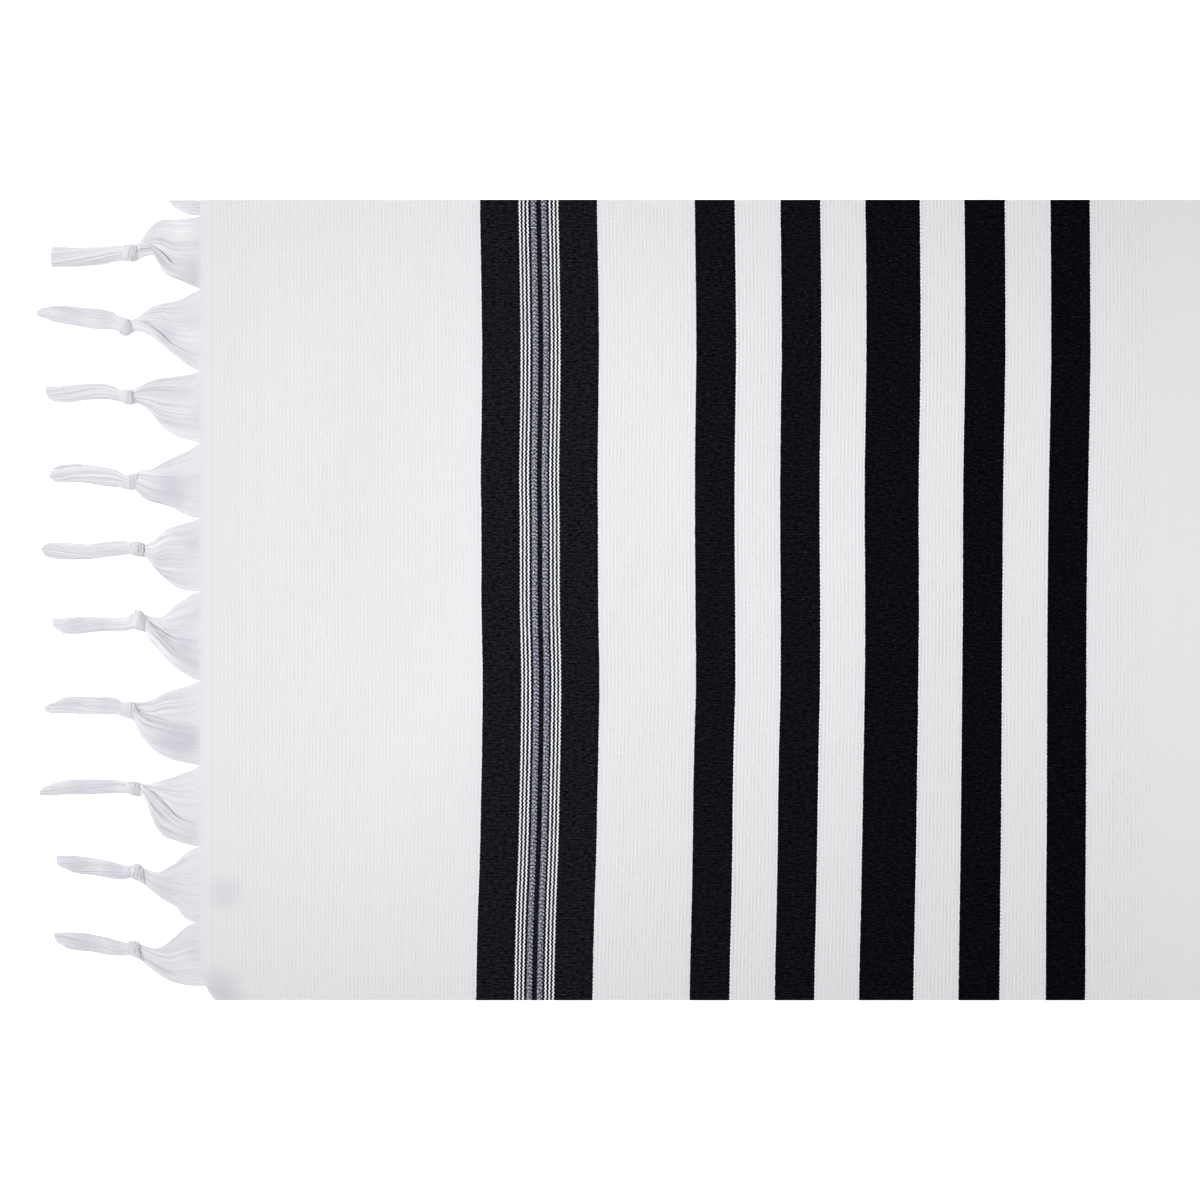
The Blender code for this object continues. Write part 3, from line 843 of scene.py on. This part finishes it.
class Bundle:
    """Threads side by side through a row of sections: a flat double row that gathers to a round."""

    def __init__(self, places, neck, twists, radius, clefts, rng):
        self.places = places
        self.reaches = [place.reach for place in places]
        self.neck = neck
        self.twists = twists
        self.radius = radius
        self.clefts = clefts
        self.seed = rng.uniform(0, 100)
        self.grooves = rng.uniform(0, math.tau)
        # Low humps of the fan: where across they are, how wide, and how high in millimetres
        self.humps = [
            (rng.uniform(-0.6, 0.6), rng.uniform(0.35, 0.6), rng.uniform(0.2, 1.6)) for _ in range(3)
        ]

    def section(self, reach):
        """The middle, half width, floor and height of the bundle at a reach."""
        hi, lo, floor, height = (
            smooth_through(self.reaches, [getattr(place, name) for place in self.places], reach)
            for name in ("hi", "lo", "floor", "height")
        )
        return (hi + lo) / 2, (hi - lo) / 2, floor, height

    def point(self, share, layer, number, reach):
        """Where a thread runs at a reach: its distance across and its height, in millimetres.

        share runs from -1 to 1 over the bundle's root. layer is 1 in the upper row and -1 in the lower one.
        """
        middle, half, floor, height = self.section(max(reach, 0.0))
        gathered = ease(reach / self.neck)
        angle = share * math.pi / 2
        depth = 1.0 if layer > 0 else 1.0 - 0.5 * gathered * (number // 2 % 2)
        # The thread's place in the bundle's section, sideways and upwards, each from -1 to 1
        side = share + (math.sin(angle) * depth - share) * gathered**2
        up = (1.0 + (math.cos(angle) - 1.0) * gathered) * depth * (1 if layer > 0 else -1)
        cleft = 1.0 - abs(math.sin(self.clefts.number * math.atan2(up, side) + self.grooves)) ** 0.6
        turn = math.radians(smooth_through(*self.twists, reach))
        across_share = min(max(side * math.cos(turn) - up * math.sin(turn), -1.0), 1.0)
        height_share = side * math.sin(turn) + up * math.cos(turn) - self.clefts.depth * gathered * cleft
        swing = math.sin(math.pi * min(max(reach / self.neck, 0.0), 1.0))
        z = floor + self.radius + max(height - 2 * self.radius, 0.0) * (height_share + 1) / 2
        for centre, width, rise in self.humps:
            z += rise * bump((share - centre) / width) * swing
        loose = ease(reach / LOOSE_REACH)
        # Threads rise and sink a few together, and each a little by itself.
        wave = Vector((number * 2.3, reach * 0.045, self.seed))
        group = Vector((number * 0.32, reach * 0.04, self.seed + 70.0))
        z += loose * (THREAD_STRAY * noise.noise(wave) + GROUP_STRAY * noise.noise(group))
        across = middle + (half - self.radius * gathered) * across_share
        across += THREAD_STRAY * loose * noise.noise(wave + Vector((0.0, 0.0, 40.0)))
        return across, max(z, self.radius * (1.6 if layer > 0 else 1.0))


def thread_paths(tassel, fold, settings, seed):
    """The threads of a tassel: for each, its points as reach, distance across and height, in mm."""
    rng = random.Random(seed)
    radius = settings.radius / MM
    neck = tassel.knot_reach - NECK_GAP
    tail_start = tassel.knot_reach + TAIL_GAP
    tip = tassel.tip_reach
    at_knot = tassel.fan_twist
    at_tip = tassel.fan_twist + tassel.tail_twist
    twists = (
        (0.0, neck * 0.5, neck, tail_start, tip),
        (0.0, at_knot * 0.12, at_knot, at_knot, at_tip),
    )
    bundles = [Bundle(bundle_places(tassel, fold, False), neck, twists, radius, PLAIN_CLEFTS, rng)]
    if fold:
        bundles.append(Bundle(bundle_places(tassel, fold, True), neck, twists, radius, STRAND_CLEFTS, rng))
    fan_stops = [neck * step / FAN_STOPS for step in range(FAN_STOPS + 1)]
    knot_stops = [tassel.knot_reach + step for step in (KNOT_STEPS[0], 0.0, KNOT_STEPS[-1])]
    tip_middle, tip_half, *_ = bundles[0].section(tip)
    # Where across the tip its longest thread lies, from -1 to 1, and how sharply the cut falls off
    # beside it
    longest = 0.8 * (tassel.cut_lo - tassel.cut_hi) / (tassel.cut_lo + tassel.cut_hi)
    sharpness = 1.8 + 1.2 * abs(longest)
    paths = []
    for bundle in bundles:
        count = round(max(place.hi - place.lo for place in bundle.places) / THREAD_PITCH)
        for number in range(count * 2):
            share = 2 * (number // 2 + 0.5) / count - 1
            layer = -1 if number % 2 else 1
            edge = (bundle.point(share, layer, number, tip - TIP_GAP)[0] - tip_middle) / tip_half
            away = abs(edge - longest) / (1 - longest if edge > longest else 1 + longest)
            deepest = tassel.cut_hi if edge > longest else tassel.cut_lo
            end = tip - deepest * min(away, 1.0) ** sharpness - rng.uniform(0.0, 1.0)
            tail_stops = [
                tail_start + (end - tail_start) * step / TAIL_STOPS for step in range(TAIL_STOPS + 1)
            ]
            stops = fan_stops + knot_stops + tail_stops
            path = [(reach, *bundle.point(share, layer, number, reach)) for reach in stops]
            # Behind its root the thread dives into the weave.
            _, across, height = path[0]
            root = rng.uniform(0.8, 4.0)
            paths.append([(-root, across, radius), (-0.4 * root, across, height), *path])
    return paths


def knot_paths(tassel, settings, seed):
    """The turns of yarn of a knot's outer loop, in millimetres. Their ends lie below, out of sight."""
    rng = random.Random(seed + 500)
    radius = settings.radius / MM
    reaches = (-NECK_GAP, *KNOT_STEPS, TAIL_GAP)
    his = (tassel.fan_hi[-1], *tassel.knot_hi, tassel.tail_hi[0])
    los = (tassel.fan_lo[-1], *tassel.knot_lo, tassel.tail_lo[0])
    # The turns that lie side by side, then the few that cross over them and lock the knot: where each
    # lies along the knot, from -1 to 1, how far it slants, and how far it lies over the others
    last = settings.wraps - 1
    turns = [(2 * turn / last - 1, tassel.lean * 1.5, 0.0) for turn in range(settings.wraps)]
    turns += [(0.25 * turn + 0.1, -0.5 * tassel.lean - 0.6, 0.3) for turn in (-1, 0, 1)]
    paths = []
    for along, slant, over in turns:
        inset = radius * 0.8 + 0.5 * along**4 + over + rng.uniform(-0.1, 0.15)
        rise = 1.0 + tassel.swell * math.sqrt(1 - (0.95 * along) ** 2) + over + rng.uniform(-0.3, 0.3)
        slant += rng.uniform(-0.35, 0.35)
        path = []
        for step in range(TURN_POINTS + 1):
            angle = math.radians(TURN_START + TURN_SWEEP * step / TURN_POINTS)
            height = max(TURN_HEIGHT + rise * math.sin(angle), radius)
            place = along * TURN_REACH + slant * math.cos(angle)
            hi, lo = (smooth_through(reaches, edges, place) for edges in (his, los))
            across = (hi + lo) / 2 + ((hi - lo) / 2 - inset) * math.cos(angle)
            path.append((tassel.knot_reach + place, across, height))
        paths.append(path)
    return paths


def wisp_paths(settings):
    """The few loose warp threads beside the selvedge, drawn together towards it."""
    radius = settings.radius / MM
    last = WISP_THREADS - 1
    paths = []
    for index in range(WISP_THREADS):
        root = WISP_ROOT_LO + (WISP_ROOT_HI - WISP_ROOT_LO) * index / last
        path = [(-1.5, root, radius)]
        end = WISP_REACH - WISP_STAGGER * (last - index)
        for step in range(WISP_POINTS + 1):
            reach = end * step / WISP_POINTS
            across = root + (WISP_ROOT_HI - root) * (reach / WISP_REACH) ** 2.4
            path.append((reach, across, radius + 0.25 * (index % 3) * (step / WISP_POINTS)))
        paths.append(path)
    return paths


def shaded(paths, lit_and_shaded_yarns, seed):
    """Share threads out among the lit and shaded copies of their yarn."""
    rng = random.Random(seed + 900)
    bundles = [([], yarn) for yarn in lit_and_shaded_yarns]
    weights = [weight for _, weight in YARN_SHADES]
    for path in paths:
        threads, _ = rng.choices(bundles, weights)[0]
        threads.append(path)
    return bundles


def thread_object(context, name, bundles, end, radius):
    """Threads as one curve object, at the left end of the cloth (end is -1) or the right (1).

    bundles are pairs of some threads' paths and their material.
    """
    curve = bpy.data.curves.new(name, "CURVE")
    curve.dimensions = "3D"
    curve.bevel_depth = radius
    curve.bevel_resolution = 1
    curve.use_fill_caps = True
    for index, (paths, material) in enumerate(bundles):
        curve.materials.append(material)
        for path in paths:
            spline = curve.splines.new("POLY")
            spline.material_index = index
            spline.points.add(len(path) - 1)
            flat = []
            for reach, across, height in path:
                start = HALF_LENGTH - creep_at(0.0, across * MM) * bump(max(reach, 0.0) / PULL_FADE)
                flat += [end * (start + reach * MM), -end * across * MM, height * MM, 1.0]
            spline.points.foreach_set("co", flat)
    bundle = add_object(context, name, curve)
    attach(bundle, "root")
    return bundle


class SHAWL_OT_tassels(bpy.types.Operator):
    """Tie the tassels of both ends, each from the warp threads of its own stretch of the cloth"""

    bl_idname = "shawl.tassels"
    bl_label = "Tie tassels"

    def execute(self, context):
        settings = context.scene.shawl_thread
        lit_and_shaded_yarns = []
        # Lit and shaded copies of the one yarn: painted light and shade.
        for index, (shade, _) in enumerate(YARN_SHADES):
            color = [channel * shade for channel in settings.color[:3]]
            lit_and_shaded_yarns.append(thread_material(f"lit_and_shaded_fringe_yarn_{index}", (*color, 1.0), 0.0))
        clean_knot = thread_material("tied_knot_yarn", settings.knot, 0.1)
        # Specks of handling on some knots, which on those that lie in shadow also stand as painted shade.
        speckled_and_shaded_knot = thread_material("handled_and_shaded_knot_yarn", settings.knot, 0.3)
        for end_name, end in (("left", -1), ("right", 1)):
            for number, tassel in enumerate(TASSELS, start=1):
                seed = number if end < 0 else number + 20
                paths = thread_paths(tassel, FOLDED_STRANDS.get(number), settings, seed)
                bundles = shaded(paths, lit_and_shaded_yarns, seed)
                knot = speckled_and_shaded_knot if number in SPECKLED_AND_SHADED_KNOTS else clean_knot
                bundles.append((knot_paths(tassel, settings, seed), knot))
                name = f"{end_name}_tassel_threads_{number:02d}"
                bundle = thread_object(context, name, bundles, end, settings.radius)
                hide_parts(f"tassel_{end_name}_{number:02d}")
            name = f"{end_name}_wisp_threads"
            wisp = thread_object(context, name, [(wisp_paths(settings), lit_and_shaded_yarns[0])], end, settings.radius)
            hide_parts(f"wisp_{end_name}")
        return {"FINISHED"}


class SHAWL_OT_stage(bpy.types.Operator):
    """Lay out the floor, the soft studio light and the camera above the shawl's left end"""

    bl_idname = "shawl.stage"
    bl_label = "Set stage"

    def execute(self, context):
        settings = context.scene.shawl_stage
        bm = bmesh.new()
        bmesh.ops.create_grid(bm, x_segments=1, y_segments=1, size=TABLE_HALF)
        mesh = bpy.data.meshes.new("floor")
        bm.to_mesh(mesh)
        bm.free()
        mesh.materials.append(floor_material(settings))
        floor = add_object(context, "floor", mesh)
        floor.location.z = -TABLE_DROP

        world = bpy.data.worlds.new("studio")
        world.use_nodes = True
        background = world.node_tree.nodes["Background"]
        background.inputs["Color"].default_value = (1.0, 1.0, 1.0, 1.0)
        background.inputs["Strength"].default_value = WORLD_STRENGTH
        context.scene.world = world

        for softbox in SOFTBOXES:
            self.add_light(context, softbox)

        view_x = -HALF_LENGTH + settings.view_width / 2 - FRINGE_SHARE * settings.view_width
        camera_data = bpy.data.cameras.new("camera")
        camera_data.lens = settings.lens
        camera_data.sensor_width = SENSOR_WIDTH
        camera = add_object(context, "camera", camera_data)
        camera.location = (view_x, 0.0, settings.view_width * settings.lens / SENSOR_WIDTH)
        context.scene.camera = camera
        context.scene.view_settings.view_transform = "Standard"
        return {"FINISHED"}

    def add_light(self, context, softbox):
        """A square soft light that faces the point it is aimed at."""
        light = bpy.data.lights.new(softbox.name, "AREA")
        light.shape = "SQUARE"
        light.size = SOFTBOX_SIZE
        light.energy = softbox.power
        light.spread = math.radians(softbox.spread)
        lamp = add_object(context, softbox.name, light)
        lamp.location = softbox.place
        facing = Vector(softbox.aim) - Vector(softbox.place)
        lamp.rotation_euler = facing.to_track_quat("-Z", "Y").to_euler()


class SHAWL_PT_panel(bpy.types.Panel):
    """Lists the shawl's operators and settings"""

    bl_label = "Prayer Shawl"
    bl_idname = "SHAWL_PT_panel"
    bl_space_type = "VIEW_3D"
    bl_region_type = "UI"
    bl_category = "Shawl"

    def draw(self, context):
        layout = self.layout
        for group, operator in (
            (context.scene.shawl_cloth, SHAWL_OT_cloth),
            (context.scene.shawl_thread, SHAWL_OT_tassels),
            (context.scene.shawl_stage, SHAWL_OT_stage),
        ):
            box = layout.box()
            for name in group.__annotations__:
                box.prop(group, name)
            box.operator(operator.bl_idname)


GROUPS = (("shawl_cloth", ShawlCloth), ("shawl_thread", ShawlThread), ("shawl_stage", ShawlStage))
OPERATORS = (SHAWL_OT_cloth, SHAWL_OT_tassels, SHAWL_OT_stage)


def register():
    """Register the classes and give each scene their settings."""
    for name, group in GROUPS:
        bpy.utils.register_class(group)
        setattr(bpy.types.Scene, name, PointerProperty(type=group))
    for operator in OPERATORS:
        bpy.utils.register_class(operator)
    bpy.utils.register_class(SHAWL_PT_panel)


def unregister():
    """Remove what register added."""
    bpy.utils.unregister_class(SHAWL_PT_panel)
    for operator in reversed(OPERATORS):
        bpy.utils.unregister_class(operator)
    for name, group in reversed(GROUPS):
        delattr(bpy.types.Scene, name)
        bpy.utils.unregister_class(group)


def main():
    """Build the shawl and its stage."""
    register()
    bpy.ops.shawl.cloth()
    bpy.ops.shawl.tassels()
    bpy.ops.shawl.stage()


if __name__ == "__main__":
    main()
